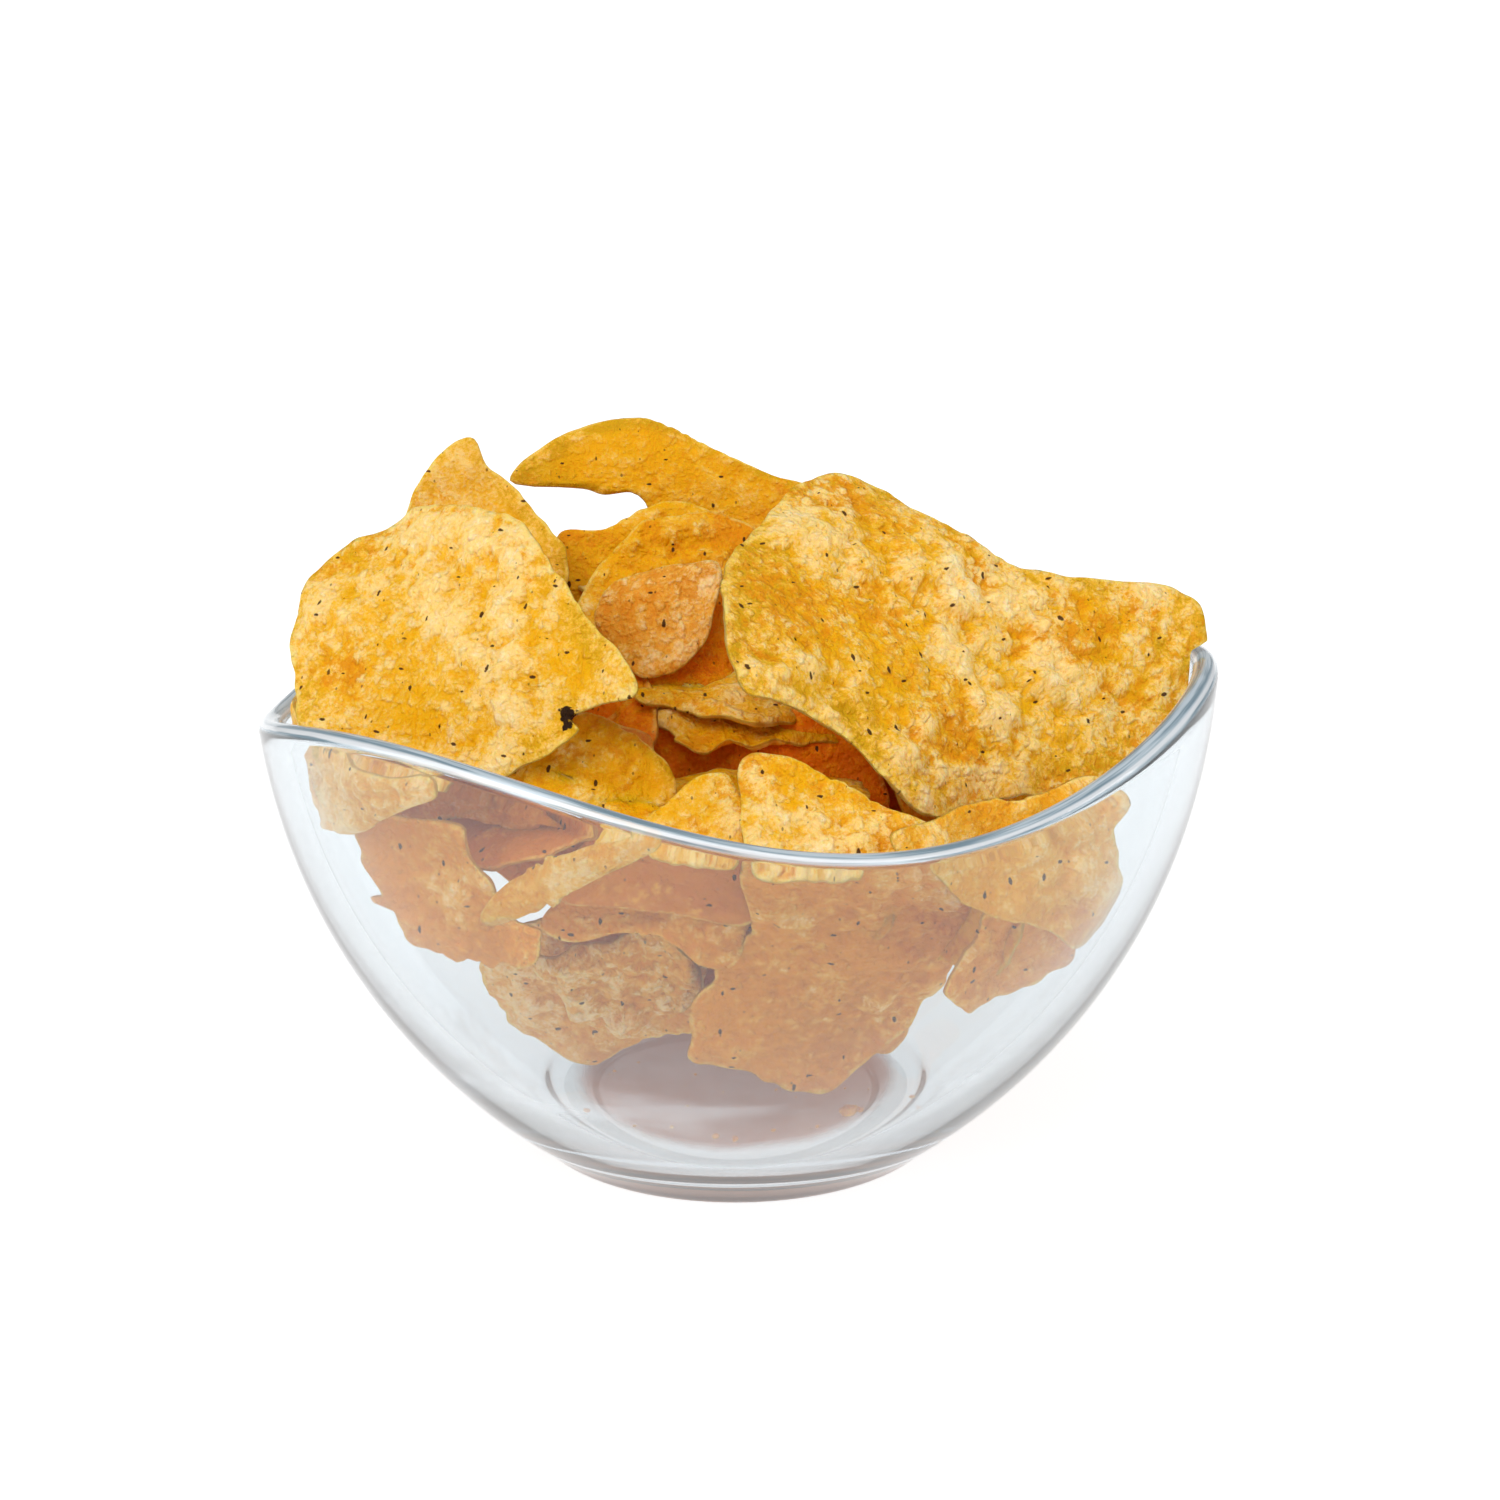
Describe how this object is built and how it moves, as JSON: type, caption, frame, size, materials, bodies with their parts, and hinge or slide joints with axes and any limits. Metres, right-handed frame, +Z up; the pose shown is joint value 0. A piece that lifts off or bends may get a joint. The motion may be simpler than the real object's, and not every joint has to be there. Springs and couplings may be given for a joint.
{
  "type": "bowl of crisps",
  "caption": "Round clear glass bowl with a wavy rim, heaped above the rim with thin curled potato crisps.",
  "frame": {"origin": "centre of the bowl's foot, on the surface that the bowl stands on", "axes": "+Z up, -Y towards the low front of the rim, +X to the right of that front"},
  "size_m": [0.1485, 0.1486, 0.1108],
  "materials": {
    "clear_glass": "smooth clear pressed glass with a fire-polished lip",
    "fried_potato": "dry, grainy, blistered and speckled, golden with browner patches"
  },
  "bodies": {
    "root": {"bowl": "clear_glass", "crisps": "fried_potato"}
  },
  "joints": []
}
